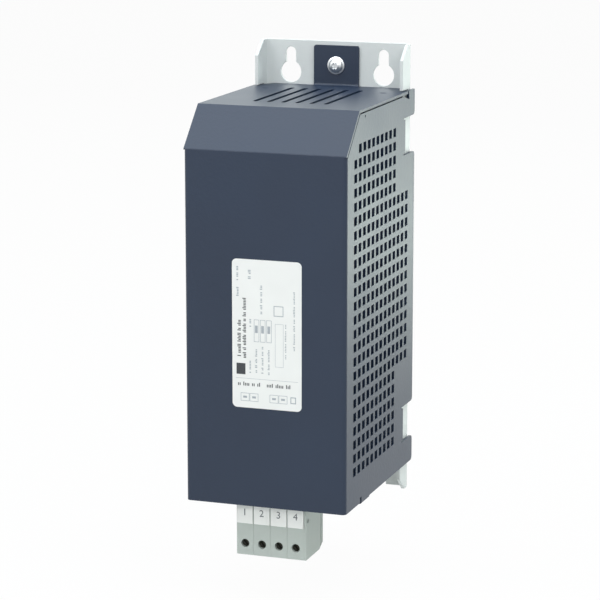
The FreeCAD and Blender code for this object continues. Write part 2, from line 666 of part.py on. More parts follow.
def make_terminals():
    """Four poles side by side, each with its screw, wire clamp and marker tag."""
    for place in range(1, int(number("pole_count")) + 1):
        middle = pole_middle(place)
        make_pole(place, middle)
        make_pole_screw(place, middle)
        make_pole_clamp(place, middle)
        block(f"marker_tag_{place}", f"{middle} - tag_width / 2", f"{middle} + tag_width / 2",
              "-pole_front - tag_proud", "tag_thickness - tag_proud - pole_front",
              "-tag_low", "tag_height - tag_low")
    extruded("terminal_end_plate", pole_outline(), "poles_right",
             "poles_right + end_plate_sheet")


def make_pole(place, middle):
    half = "(pole_pitch - pole_gap) / 2"
    body = extruded(f"terminal_housing_{place}", pole_outline(), f"{middle} - {half}",
                    f"{middle} + {half}")
    entry = new_sketch(body, "entry", "XY_Plane", "-pole_drop")
    add_rectangle(entry, f"{middle} - entry_width / 2", f"{middle} + entry_width / 2",
                  "entry_near", "entry_far")
    pocket(body, entry, "entry_height", backwards=True)
    faceted_round(body, "Subtractive", middle, "pole_screw_height", "-entry_near",
                  "pole_screw_bore", "entry_front")
    recess = new_sketch(body, "tag_recess", "XZ_Plane", "pole_front")
    add_rectangle(recess, f"{middle} - tag_width / 2 - seat_gap",
                  f"{middle} + tag_width / 2 + seat_gap",
                  "-tag_low - seat_gap", "tag_height - tag_low + seat_gap")
    pocket(body, recess, "tag_thickness - tag_proud")


def make_pole_screw(place, middle):
    body = new_body(f"terminal_screw_{place}")
    faceted_round(body, "Additive", middle, "pole_screw_height", "-entry_near - pole_screw_tip",
                  "pole_screw_radius", "entry_front - pole_screw_recess + pole_screw_tip")


def make_pole_clamp(place, middle):
    """Channel that the screw draws against the wire."""
    body = new_body(f"terminal_clamp_{place}")
    outer = "(entry_width / 2 - seat_gap)"
    plan = new_sketch(body, "plan", "XY_Plane", "clamp_rise - pole_drop")
    near, far = "entry_near + seat_gap", "entry_far - seat_gap"
    add_polygon(plan, [
        (f"{middle} - {outer}", near), (f"{middle} - {outer}", far),
        (f"{middle} + {outer}", far), (f"{middle} + {outer}", near),
        (f"{middle} + {outer} - clamp_sheet", near),
        (f"{middle} + {outer} - clamp_sheet", f"{far} - clamp_sheet"),
        (f"{middle} - {outer} + clamp_sheet", f"{far} - clamp_sheet"),
        (f"{middle} - {outer} + clamp_sheet", near)])
    pad(body, plan, "clamp_height")


def make_capacitors():
    """Two boxed capacitors on the shelf, a strap over them and the discharge resistor."""
    for name, left, right in (("capacitor_left", "-can_outer", "-can_spacing / 2"),
                              ("capacitor_right", "can_spacing / 2", "can_outer")):
        block(name, left, right, "can_front", "-can_rear", "shelf_top", "can_top")
    body = new_body("capacitor_strap")
    arch = new_sketch(body, "arch", "XZ_Plane", "strap_rear")
    inner = "(can_outer + seat_gap)"
    outer = "(can_outer + seat_gap + strap_sheet)"
    add_polygon(arch, [
        (f"-{outer}", "shelf_top"), (f"-{outer}", "can_top + strap_sheet"),
        (outer, "can_top + strap_sheet"), (outer, "shelf_top"), (inner, "shelf_top"),
        (inner, "can_top"), (f"-{inner}", "can_top"), (f"-{inner}", "shelf_top")])
    pad(body, arch, "strap_length")
    block("discharge_resistor", "-resistor_width / 2", "resistor_width / 2",
          "-resistor_rear - resistor_side", "-resistor_rear", "can_top", "can_top + resistor_side")


def make_core():
    """Laminated core: a U and a yoke, kept apart by two spacers, between two brackets."""
    body = new_body("choke_core")
    limbs = new_sketch(body, "limbs", "XZ_Plane", "core_rear")
    half, window = "core_width / 2", "(core_width / 2 - core_limb)"
    add_polygon(limbs, [
        (f"-{half}", "core_low"), (half, "core_low"), (half, "limb_top"), (window, "limb_top"),
        (window, "limb_low"), (f"-{window}", "limb_low"), (f"-{window}", "limb_top"),
        (f"-{half}", "limb_top")])
    pad(body, limbs, "core_stack")
    block("choke_yoke", "-core_width / 2", "core_width / 2", "core_front", "-core_rear",
          "yoke_low", "core_top")
    for name, left, right in (("gap_spacer_left", f"-{half}", f"-{window}"),
                              ("gap_spacer_right", window, half)):
        block(name, left, right, "core_front", "-core_rear", "limb_top", "yoke_low")


def make_core_brackets():
    """Folded arms from the chassis under and over the core, with an edge in front of it."""
    low_face = "core_low - bracket_sheet"
    extruded("core_bracket_lower", [
        ("plate_front", "core_low"), ("core_front", "core_low"),
        ("core_front", "core_low + core_lip"), ("core_front - bracket_sheet", "core_low + core_lip"),
        ("core_front - bracket_sheet", low_face), ("foot_front", low_face),
        ("foot_front", "core_low - bracket_foot"), ("plate_front", "core_low - bracket_foot")],
        "-bracket_width / 2", "bracket_width / 2")
    high_face = "core_top + bracket_sheet"
    extruded("core_bracket_upper", [
        ("plate_front", "core_top"), ("core_front", "core_top"),
        ("core_front", "core_top - core_lip"), ("core_front - bracket_sheet", "core_top - core_lip"),
        ("core_front - bracket_sheet", high_face), ("foot_front", high_face),
        ("foot_front", "core_top + bracket_foot"), ("plate_front", "core_top + bracket_foot")],
        "-bracket_width / 2", "bracket_width / 2")


def add_ring(body, name, middle, half_x, half_y, low, high):
    """Rectangular layer round a limb, still solid inside."""
    sketch = new_sketch(body, name, "XY_Plane", low)
    add_rectangle(sketch, f"{middle} - ({half_x})", f"{middle} + ({half_x})",
                  f"stack_middle - ({half_y})", f"stack_middle + ({half_y})")
    pad(body, sketch, f"{high} - ({low})")


def cut_core_hole(body, middle, half_x, half_y):
    hole = new_sketch(body, "hole", "XY_Plane", "bobbin_low")
    add_rectangle(hole, f"{middle} - ({half_x})", f"{middle} + ({half_x})",
                  f"stack_middle - ({half_y})", f"stack_middle + ({half_y})")
    pocket(body, hole)


def make_coil(side, middle):
    """Flanged bobbin on a limb and the copper winding on it."""
    bobbin = new_body(f"choke_bobbin_{side}")
    flange_x = "tube_x + coil_build + flange_margin"
    flange_y = "tube_y + coil_build + flange_margin"
    add_ring(bobbin, "tube", middle, "tube_x", "tube_y", "bobbin_low", "bobbin_top")
    add_ring(bobbin, "lower_flange", middle, flange_x, flange_y, "bobbin_low",
             "bobbin_low + bobbin_wall")
    add_ring(bobbin, "upper_flange", middle, flange_x, flange_y, "bobbin_top - bobbin_wall",
             "bobbin_top")
    cut_core_hole(bobbin, middle, "tube_x - bobbin_wall", "tube_y - bobbin_wall")
    winding = new_body(f"choke_winding_{side}")
    add_ring(winding, "turns", middle, "tube_x + coil_build", "tube_y + coil_build",
             "bobbin_low + bobbin_wall", "bobbin_top - bobbin_wall")
    chamfer(winding, "corners", "coil_corner", lambda edge: along_axis(edge, "z"))
    cut_core_hole(winding, middle, "tube_x", "tube_y")


def make_leads():
    """Flat copper strips: outer poles to the windings, inner poles and windings to the capacitors."""
    for name, place in (("lead_coil_left", 1), ("lead_coil_right", "pole_count")):
        add_lead(name, pole_middle(place), "lead_front", "pole_upper", "coil_front",
                 "bobbin_low + bobbin_wall + lead_rise")
    for name, place in (("lead_capacitor_left", 2), ("lead_capacitor_right", "pole_count - 1")):
        add_lead(name, pole_middle(place), "lead_front", "pole_upper",
                 "can_front + lead_overlap", "can_top + lead_sheet")
    for name, middle in (("coil_lead_left", "-coil_lead_offset"),
                         ("coil_lead_right", "coil_lead_offset")):
        extruded(name, [
            ("coil_front", "bobbin_low + bobbin_wall + lead_rise"),
            ("coil_front", "bobbin_low + bobbin_wall + seat_gap"),
            ("coil_front - flange_margin - seat_gap", "bobbin_low + bobbin_wall + seat_gap"),
            ("coil_front - flange_margin - seat_gap", "can_top + lead_sheet"),
            ("can_front + lead_overlap", "can_top + lead_sheet"),
            ("can_front + lead_overlap", "can_top"),
            ("coil_front - flange_margin - seat_gap - lead_sheet", "can_top"),
            ("coil_front - flange_margin - seat_gap - lead_sheet",
             "bobbin_low + bobbin_wall + lead_rise")],
            f"{middle} - lead_width / 2", f"{middle} + lead_width / 2")


def add_lead(name, middle, front, low, rear, high):
    """Strip that rises from a pole and turns back at the top."""
    extruded(name, [
        (front, low), (f"{front} + lead_sheet", low),
        (f"{front} + lead_sheet", f"{high} - lead_sheet"), (rear, f"{high} - lead_sheet"),
        (rear, high), (front, high)],
        f"{middle} - lead_width / 2", f"{middle} + lead_width / 2")


make_chassis()
make_hood()
make_hood_screw()
make_label()
make_terminal_bracket()
make_terminals()
make_capacitors()
make_core()
make_core_brackets()
make_coil("left", "-limb_middle")
make_coil("right", "limb_middle")
make_leads()
doc.recompute()

for item in doc.Objects:
    if "Invalid" in item.State or "Error" in item.State:
        raise RuntimeError(f"{item.Name} did not build: {item.State}")
for node in nodes:
    if node.Shape.isNull() or not node.Shape.isValid() or len(node.Shape.Solids) != 1:
        raise RuntimeError(f"{node.Label} is not one valid solid")

os.makedirs("parts", exist_ok=True)
for node in nodes:
    node.Shape.exportStep(f"parts/{node.Label}.step")
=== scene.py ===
"""Looks of the wall-mounted harmonic filter: finishes, printing, small fasteners and light."""
import json
import math
import random

import bmesh
import bpy
from mathutils import Matrix, Vector


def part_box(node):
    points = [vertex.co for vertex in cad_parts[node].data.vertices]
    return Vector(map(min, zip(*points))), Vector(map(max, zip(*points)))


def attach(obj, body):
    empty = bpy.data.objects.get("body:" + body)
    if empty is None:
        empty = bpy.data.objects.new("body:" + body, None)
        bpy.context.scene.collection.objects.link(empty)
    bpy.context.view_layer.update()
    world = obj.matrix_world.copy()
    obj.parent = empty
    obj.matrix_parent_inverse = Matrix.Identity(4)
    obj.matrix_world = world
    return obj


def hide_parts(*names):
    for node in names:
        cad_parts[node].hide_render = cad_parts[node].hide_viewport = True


MM = 0.001

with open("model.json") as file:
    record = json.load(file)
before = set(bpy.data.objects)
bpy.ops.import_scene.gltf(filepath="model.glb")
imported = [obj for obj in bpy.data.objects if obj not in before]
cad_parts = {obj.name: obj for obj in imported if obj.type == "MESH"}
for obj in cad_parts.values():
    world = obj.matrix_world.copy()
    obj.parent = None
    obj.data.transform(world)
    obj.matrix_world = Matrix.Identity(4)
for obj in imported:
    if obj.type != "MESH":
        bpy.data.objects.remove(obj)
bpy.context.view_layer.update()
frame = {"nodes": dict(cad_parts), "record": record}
nodes = frame["nodes"]
slot_of = {part["node"]: part["material_slot"] for part in frame["record"]["subparts"]}


# Finishes

def linear(hex_colour):
    """An sRGB hex colour as linear red, green, blue and alpha."""
    channels = [int(hex_colour[start:start + 2], 16) / 255 for start in (0, 2, 4)]
    curved = [c / 12.92 if c <= 0.04045 else ((c + 0.055) / 1.055) ** 2.4 for c in channels]
    return (*curved, 1.0)


def scale_for(size_mm):
    """Scale of a pattern whose patches are about size_mm across."""
    return 1 / (size_mm * MM)


def wave_scale(spacing_mm):
    """Scale of a wave texture whose bands are spacing_mm apart."""
    spacing_at_one = 0.314
    return spacing_at_one / (spacing_mm * MM)


def add_node(tree, kind, settings=None, links=None):
    """Add a node; settings go to its properties or inputs, links map an input to an output."""
    node = tree.nodes.new(kind)
    for name, value in (settings or {}).items():
        if isinstance(name, str) and hasattr(node, name):
            setattr(node, name, value)
        else:
            node.inputs[name].default_value = value
    for name, output in (links or {}).items():
        tree.links.new(output, node.inputs[name])
    return node


def new_finish(name):
    """A material, its emptied tree and its object coordinates."""
    material = bpy.data.materials.new(name)
    material.use_nodes = True
    tree = material.node_tree
    tree.nodes.clear()
    coordinates = add_node(tree, "ShaderNodeTexCoord").outputs["Object"]
    return material, tree, coordinates


def close_finish(tree, even, colour, roughness=None, bump=None):
    """End a tree in a Principled surface that follows its patterns.

    even holds the shader's values that are the same all over. colour is a pattern and the two
    hex colours that it runs between, roughness a pattern and two values, and bump a pattern,
    its depth in millimetres and its strength.
    """
    pattern, dark, light = colour
    mixed = add_node(tree, "ShaderNodeMix", {
        "data_type": "RGBA", 6: linear(dark), 7: linear(light)}, {0: pattern})
    links = {"Base Color": mixed.outputs[2]}
    if roughness:
        pattern, low, high = roughness
        links["Roughness"] = add_node(tree, "ShaderNodeMapRange", {
            "To Min": low, "To Max": high}, {"Value": pattern}).outputs["Result"]
    if bump:
        pattern, depth_mm, strength = bump
        links["Normal"] = add_node(tree, "ShaderNodeBump", {
            "Distance": depth_mm * MM, "Strength": strength},
            {"Height": pattern}).outputs["Normal"]
    surface = add_node(tree, "ShaderNodeBsdfPrincipled", even, links)
    add_node(tree, "ShaderNodeOutputMaterial", links={"Surface": surface.outputs["BSDF"]})


def powder_coat(name, dark, light, roughness):
    """Polyester powder baked on sheet steel: even colour with a fine orange peel.

    The real peel is about 1 mm across; it is drawn at 2.2 mm so that it shows.
    """
    material, tree, coordinates = new_finish(name)
    peel = add_node(tree, "ShaderNodeTexNoise", {
        "Scale": scale_for(2.2), "Detail": 2.0, "Roughness": 0.55},
        {"Vector": coordinates}).outputs["Fac"]
    cloud = add_node(tree, "ShaderNodeTexNoise", {
        "Scale": scale_for(45), "Detail": 1.0, "Roughness": 0.55},
        {"Vector": coordinates}).outputs["Fac"]
    close_finish(tree, {"IOR": 1.5}, (cloud, dark, light),
                 (cloud, roughness - 0.03, roughness + 0.03), (peel, 0.1, 0.8))
    return material


def zinc_plate(name, dark, light, roughness):
    """Passivated zinc on turned steel: a clean metal with a slight haze."""
    material, tree, coordinates = new_finish(name)
    haze = add_node(tree, "ShaderNodeTexNoise", {
        "Scale": scale_for(2.5), "Detail": 2.0, "Roughness": 0.55},
        {"Vector": coordinates}).outputs["Fac"]
    close_finish(tree, {"Metallic": 1.0}, (haze, dark, light),
                 (haze, roughness - 0.05, roughness + 0.08), (haze, 0.01, 0.3))
    return material


def galvanised_sheet():
    """Hot-dip galvanised steel: dull metal with spangles 6 mm across."""
    material, tree, coordinates = new_finish("galvanised_steel")
    spangle = add_node(tree, "ShaderNodeTexVoronoi", {"Scale": scale_for(6)},
                       {"Vector": coordinates}).outputs["Color"]
    level = add_node(tree, "ShaderNodeRGBToBW", links={"Color": spangle}).outputs["Val"]
    close_finish(tree, {"Metallic": 1.0}, (level, "9EA3A6", "C6CACC"), (level, 0.38, 0.52))
    return material


def moulded_plastic(name, dark, light, roughness):
    """Injection-moulded thermoplastic with a fine spark-eroded texture.

    The real grit is finer than 0.1 mm; it is drawn at 0.5 mm so that it shows.
    """
    material, tree, coordinates = new_finish(name)
    grit = add_node(tree, "ShaderNodeTexNoise", {
        "Scale": scale_for(0.5), "Detail": 2.0, "Roughness": 0.55},
        {"Vector": coordinates}).outputs["Fac"]
    cloud = add_node(tree, "ShaderNodeTexNoise", {
        "Scale": scale_for(12), "Detail": 1.0, "Roughness": 0.55},
        {"Vector": coordinates}).outputs["Fac"]
    close_finish(tree, {"IOR": 1.47}, (cloud, dark, light),
                 (grit, roughness - 0.04, roughness + 0.04), (grit, 0.015, 0.4))
    return material


def printed_film():
    """Polyester label film: white and satin, with the faintest ripple of its adhesive."""
    material, tree, coordinates = new_finish("polyester_film")
    ripple = add_node(tree, "ShaderNodeTexNoise", {
        "Scale": scale_for(14), "Detail": 1.0, "Roughness": 0.55},
        {"Vector": coordinates}).outputs["Fac"]
    close_finish(tree, {"IOR": 1.5}, (ripple, "E9EAE7", "EFF0ED"),
                 (ripple, 0.42, 0.5), (ripple, 0.02, 0.3))
    return material


def label_ink(name, dark, light):
    """Thermal-transfer ink: a thin matt layer that varies a little in density."""
    material, tree, coordinates = new_finish(name)
    density = add_node(tree, "ShaderNodeTexNoise", {
        "Scale": scale_for(0.8), "Detail": 2.0, "Roughness": 0.55},
        {"Vector": coordinates}).outputs["Fac"]
    close_finish(tree, {"Roughness": 0.6}, (density, dark, light))
    return material


def lamination_stack():
    """Varnished silicon steel sheets 0.5 mm thick, drawn at 1 mm so that the edges show."""
    material, tree, coordinates = new_finish("lamination_stack")
    sheets = add_node(tree, "ShaderNodeTexWave", {
        "bands_direction": "Y", "Scale": wave_scale(1.0), "Distortion": 0.4, "Detail": 1.0},
        {"Vector": coordinates}).outputs["Fac"]
    varnish = add_node(tree, "ShaderNodeTexNoise", {
        "Scale": scale_for(9), "Detail": 2.0, "Roughness": 0.55},
        {"Vector": coordinates}).outputs["Fac"]
    close_finish(tree, {"Metallic": 0.6}, (varnish, "3A3B3E", "5A5B5D"),
                 (varnish, 0.35, 0.55), (sheets, 0.12, 1.0))
    return material


def wound_copper():
    """Enamelled round wire 1.6 mm across, laid in level turns up the coil."""
    material, tree, coordinates = new_finish("enamelled_copper")
    turns = add_node(tree, "ShaderNodeTexWave", {
        "bands_direction": "Z", "Scale": wave_scale(1.6), "Distortion": 0.25},
        {"Vector": coordinates}).outputs["Fac"]
    enamel = add_node(tree, "ShaderNodeTexNoise", {
        "Scale": scale_for(5), "Detail": 2.0, "Roughness": 0.55},
        {"Vector": coordinates}).outputs["Fac"]
    close_finish(tree, {"Metallic": 0.8, "Coat Weight": 0.4, "Coat Roughness": 0.2},
                 (enamel, "6B2F17", "8E4522"), (enamel, 0.3, 0.42), (turns, 0.5, 1.0))
    return material


def bare_copper():
    """Rolled copper strip, slightly tarnished, with its rolling marks along the strip."""
    material, tree, coordinates = new_finish("rolled_copper")
    drawn_out = add_node(tree, "ShaderNodeMapping", {"Scale": (1, 1, 0.08)},
                         {"Vector": coordinates}).outputs["Vector"]
    marks = add_node(tree, "ShaderNodeTexNoise", {
        "Scale": scale_for(0.6), "Detail": 2.0, "Roughness": 0.55},
        {"Vector": drawn_out}).outputs["Fac"]
    close_finish(tree, {"Metallic": 1.0}, (marks, "B5714D", "C98662"), (marks, 0.3, 0.42))
    return material


def fired_ceramic():
    """Unglazed resistor body: chalky, with pores about 0.4 mm across."""
    material, tree, coordinates = new_finish("fired_ceramic")
    pores = add_node(tree, "ShaderNodeTexNoise", {
        "Scale": scale_for(0.4), "Detail": 2.0, "Roughness": 0.55},
        {"Vector": coordinates}).outputs["Fac"]
    close_finish(tree, {"Roughness": 0.85}, (pores, "C9C4B6", "DAD6C9"), bump=(pores, 0.08, 1.0))
    return material


def pressed_board():
    """Electrical pressboard: brown fibres pressed flat."""
    material, tree, coordinates = new_finish("pressboard")
    drawn_out = add_node(tree, "ShaderNodeMapping", {"Scale": (1, 0.2, 1)},
                         {"Vector": coordinates}).outputs["Vector"]
    fibre = add_node(tree, "ShaderNodeTexNoise", {
        "Scale": scale_for(1.5), "Detail": 2.0, "Roughness": 0.55},
        {"Vector": drawn_out}).outputs["Fac"]
    close_finish(tree, {"Roughness": 0.8}, (fibre, "8A6540", "A57C52"), bump=(fibre, 0.05, 1.0))
    return material


finishes = {
    "hood_paint": powder_coat("blue_grey_powder_coat", "18273C", "1B2C42", 0.42),
    "chassis_paint": powder_coat("light_grey_powder_coat", "D9DEDC", "DFE3E1", 0.45),
    "zinc_steel": zinc_plate("zinc_plate", "C9CED1", "F2F4F5", 0.3),
    "galvanised_sheet": galvanised_sheet(),
    "label_film": printed_film(),
    "terminal_plastic": moulded_plastic("polyamide_grey", "B3BBB5", "B9C1BB", 0.5),
    "tag_plastic": moulded_plastic("polycarbonate_white", "F2F4F0", "F6F7F4", 0.45),
    "capacitor_case": moulded_plastic("polybutylene_black", "24262A", "2E3034", 0.4),
    "resistor_ceramic": fired_ceramic(),
    "lamination_steel": lamination_stack(),
    "spacer_board": pressed_board(),
    "bobbin_plastic": moulded_plastic("glass_filled_nylon", "1C1C1E", "262628", 0.5),
    "winding_copper": wound_copper(),
    "lead_copper": bare_copper(),
}
# Painted shade: the terminal screws' zinc is darkened to stand in for the shade in their holes;
# the real screws are bright zinc.
zinc_painted_shade = zinc_plate("zinc_with_painted_shade", "2A2B26", "3C3D38", 0.45)
ink_dark = label_ink("ink_dark", "2C2F33", "45494D")
ink_grey = label_ink("ink_grey", "565B5F", "6C7175")
ink_pale = label_ink("ink_pale", "9BA2A8", "AEB4B9")

for node_name, node in nodes.items():
    node.data.materials.clear()
    node.data.materials.append(finishes[slot_of[node_name]])


# Ways to make pieces

def new_object(name, data):
    """Object of a mesh, lamp or other data, linked to the scene."""
    thing = bpy.data.objects.new(name, data)
    bpy.context.scene.collection.objects.link(thing)
    return thing


def finished_mesh(name, work):
    """Mesh of a bmesh, which is freed."""
    mesh = bpy.data.meshes.new(name)
    work.to_mesh(mesh)
    work.free()
    return mesh


def evaluated_mesh(thing):
    """Plain mesh of an object as its modifiers or its letters make it."""
    graph = bpy.context.evaluated_depsgraph_get()
    return bpy.data.meshes.new_from_object(thing.evaluated_get(graph))


def place(piece, node_names):
    """Ride on the part's one body in place of the named CAD nodes, which it hides."""
    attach(piece, "root")
    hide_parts(*node_names)


def ride_as(piece):
    """Ride on the part's one body beside the CAD nodes."""
    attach(piece, "root")


def smooth(mesh):
    """Shade smoothly, with edges sharper than 30 degrees kept."""
    mesh.polygons.foreach_set("use_smooth", [True] * len(mesh.polygons))
    mesh.set_sharp_from_angle(angle=math.radians(30))


def bake_modifiers(piece):
    """Turn the piece's modifiers into plain mesh."""
    mesh = evaluated_mesh(piece)
    piece.modifiers.clear()
    piece.data = mesh


def mesh_piece(name, work, finish):
    """Finished object from a bmesh, outward-facing and smoothly shaded."""
    bmesh.ops.remove_doubles(work, verts=work.verts, dist=1e-7)
    bmesh.ops.recalc_face_normals(work, faces=work.faces)
    mesh = finished_mesh(name, work)
    mesh.materials.append(finish)
    smooth(mesh)
    return new_object(name, mesh)


def cutter(name, work):
    """Closed solid whose volume is taken out of a piece."""
    bmesh.ops.recalc_face_normals(work, faces=work.faces)
    return new_object(name, finished_mesh(name, work))


def cut_out(piece, solid):
    """Take a cutter's volume out of a piece once its modifiers are baked."""
    cut = piece.modifiers.new(solid.name, "BOOLEAN")
    cut.operation, cut.solver, cut.object = "DIFFERENCE", "EXACT", solid


def add_prism(work, outline, front, rear):
    """Upright plate of an outline of (x, z) points between two depths."""
    near = [work.verts.new((x, front, z)) for x, z in outline]
    far = [work.verts.new((x, rear, z)) for x, z in outline]
    work.faces.new(near)
    work.faces.new(list(reversed(far)))
    for step in range(len(outline)):
        following = (step + 1) % len(outline)
        work.faces.new([near[step], far[step], far[following], near[following]])


def add_pin(work, centre, radius, reach):
    """Cylinder along X through a point, reach long to each side."""
    stand = Matrix.Translation(centre) @ Matrix.Rotation(math.pi / 2, 4, "Y")
    bmesh.ops.create_cone(work, cap_ends=True, segments=16, radius1=radius,
                          radius2=radius, depth=2 * reach, matrix=stand)


# Sheet metal and mouldings: eased edges and pressed or moulded marks

PUNCH_MARK = {"y": -95.2 * MM, "z": 221.7 * MM, "radius": 0.8 * MM, "depth": 0.5 * MM}
EJECTOR_MARK = {"inset": 3.2 * MM, "z": -9 * MM, "radius": 1.4 * MM, "depth": 0.6 * MM}
GROOVES = {"count": 3, "first": 2.0 * MM, "pitch": 2.2 * MM, "width": 0.7 * MM,
           "depth": 0.3 * MM}


def hood_marks():
    """Shallow punch marks near the upper front corners of the side panels."""
    low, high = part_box("hood")
    work = bmesh.new()
    for face in (low.x, high.x):
        add_pin(work, Vector((face, PUNCH_MARK["y"], PUNCH_MARK["z"])),
                PUNCH_MARK["radius"], PUNCH_MARK["depth"])
    return cutter("hood_marks", work)


def end_plate_marks():
    """Ejector mark and upright grooves on the outer face of the terminals' end plate."""
    low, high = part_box("terminal_end_plate")
    work = bmesh.new()
    add_pin(work, Vector((high.x, low.y + EJECTOR_MARK["inset"], EJECTOR_MARK["z"])),
            EJECTOR_MARK["radius"], EJECTOR_MARK["depth"])
    for step in range(GROOVES["count"]):
        middle = Vector((high.x, high.y - GROOVES["first"] - GROOVES["pitch"] * step,
                         (low.z + high.z) / 2))
        groove = bmesh.ops.create_cube(work, size=1)["verts"]
        bmesh.ops.scale(work, verts=groove,
                        vec=(2 * GROOVES["depth"], GROOVES["width"], 2 * (high.z - low.z)))
        bmesh.ops.translate(work, verts=groove, vec=middle)
    return cutter("end_plate_marks", work)


def eased_copy(node_name, ease_mm, merge_flats=False, marks=None):
    """Copy of a CAD node whose sharp edges are eased as pressing and paint leave them.

    merge_flats joins the triangles of each flat first, which suits the perforated sheet.
    The volume of marks is cut out of the copy.
    """
    work = bmesh.new()
    work.from_mesh(nodes[node_name].data)
    bmesh.ops.remove_doubles(work, verts=work.verts, dist=1e-6)
    if merge_flats:
        bmesh.ops.dissolve_limit(work, angle_limit=math.radians(0.5), verts=work.verts,
                                 edges=work.edges, delimit={"NORMAL"})
    mesh = finished_mesh(node_name + "_finished", work)
    mesh.materials.append(finishes[slot_of[node_name]])
    smooth(mesh)
    piece = new_object(node_name + "_finished", mesh)
    if marks:
        cut_out(piece, marks)
    bevel = piece.modifiers.new("ease", "BEVEL")
    bevel.width = ease_mm * MM
    bevel.segments = 2
    bevel.limit_method = "ANGLE"
    bevel.angle_limit = math.radians(40)
    bevel.use_clamp_overlap = True
    piece.modifiers.new("even_flats", "WEIGHTED_NORMAL").weight = 100
    bake_modifiers(piece)
    if marks:
        bpy.data.objects.remove(marks)
    place(piece, [node_name])


eased_copy("hood", 0.15, merge_flats=True, marks=hood_marks())
eased_copy("mounting_chassis", 0.3, merge_flats=True)
eased_copy("terminal_end_plate", 0.1, marks=end_plate_marks())
for node_name in sorted(nodes):
    if node_name.startswith(("terminal_housing", "marker_tag")):
        eased_copy(node_name, 0.1)


# Hood screw: pan head with a pressed washer and a six-lobed recess

HEAD_HEIGHT = 3.2 * MM
SHANK_RADIUS = 2.5 * MM
WASHER_EDGE, WASHER_HEIGHT = 0.7 * MM, 0.9 * MM
RECESS_DEPTH = 1.6 * MM
# Shares of the head's radius
CROWN_FOOT, CROWN = 0.84, 0.82
SOCKET, LOBE = 0.37, 0.07


def turned(profile, centre):
    """Solid of revolution about an axis along Y; profile holds (radius, y) from end to end."""
    segments = 48
    angles = [2 * math.pi * step / segments for step in range(segments)]
    work = bmesh.new()
    rings = []
    for radius, y in profile:
        if radius == 0:
            rings.append([work.verts.new((centre.x, y, centre.z))])
            continue
        rings.append([work.verts.new((centre.x + radius * math.cos(turn), y,
                                      centre.z + radius * math.sin(turn))) for turn in angles])
    for first, second in zip(rings, rings[1:]):
        for step in range(segments):
            following = (step + 1) % segments
            corners = [ring[index % len(ring)] for ring, index in
                       ((first, step), (first, following), (second, following), (second, step))]
            work.faces.new(list(dict.fromkeys(corners)))
    return work


def head_profile(front, rear, tab_front, head_radius):
    """Half section of the screw from the end of its shank to the crown of its head.

    The crown rises in an arc, slightly fuller than a circle's, and ends in a small flat.
    """
    crown_foot = tab_front - WASHER_HEIGHT
    crown = head_radius * CROWN
    profile = [(0, rear), (SHANK_RADIUS, rear), (SHANK_RADIUS, tab_front),
               (head_radius, tab_front), (head_radius, tab_front - WASHER_EDGE),
               (head_radius * CROWN_FOOT, crown_foot)]
    for degrees in range(15, 88, 12):
        turn = math.radians(degrees)
        reach = crown * (math.cos(turn) ** 0.8 if degrees < 87 else 0.2)
        profile.append((reach, crown_foot - (crown_foot - front) * math.sin(turn)))
    return profile + [(crown * 0.1, front), (0, front)]


def recess_cutter(centre, front, head_radius):
    """Six-lobed socket, which starts clear of the head."""
    lobes = []
    for step in range(48):
        turn = 2 * math.pi * step / 48
        reach = head_radius * (SOCKET + LOBE * math.cos(6 * turn))
        lobes.append((centre.x + reach * math.cos(turn), centre.z + reach * math.sin(turn)))
    work = bmesh.new()
    add_prism(work, lobes, front - 1 * MM, front + RECESS_DEPTH)
    return cutter("recess_tool", work)


def hood_screw():
    """The turned head and shank with the recess taken out."""
    low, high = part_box("hood_screw")
    centre = (low + high) / 2
    head_radius = (high.x - low.x) / 2
    profile = head_profile(low.y, high.y, low.y + HEAD_HEIGHT, head_radius)
    screw = mesh_piece("hood_screw_turned", turned(profile, centre), finishes["zinc_steel"])
    tool = recess_cutter(centre, low.y, head_radius)
    cut_out(screw, tool)
    bake_modifiers(screw)
    bpy.data.objects.remove(tool)
    smooth(screw.data)
    place(screw, ["hood_screw"])


hood_screw()


# Terminal screws: one slotted screw, repeated along the row

def socket_identifier(tree, name):
    """Identifier of a tree's named input, which a modifier asks for."""
    return next(item.identifier for item in tree.interface.items_tree
                if item.name == name and item.in_out == "INPUT")


def grown(name, tree, values):
    """Plain mesh object that a geometry tree makes from its input values."""
    carrier = new_object(name, bpy.data.meshes.new(name))
    modifier = carrier.modifiers.new(name, "NODES")
    modifier.node_group = tree
    for size_name, value in values.items():
        modifier[socket_identifier(tree, size_name)] = value
    bake_modifiers(carrier)
    return carrier


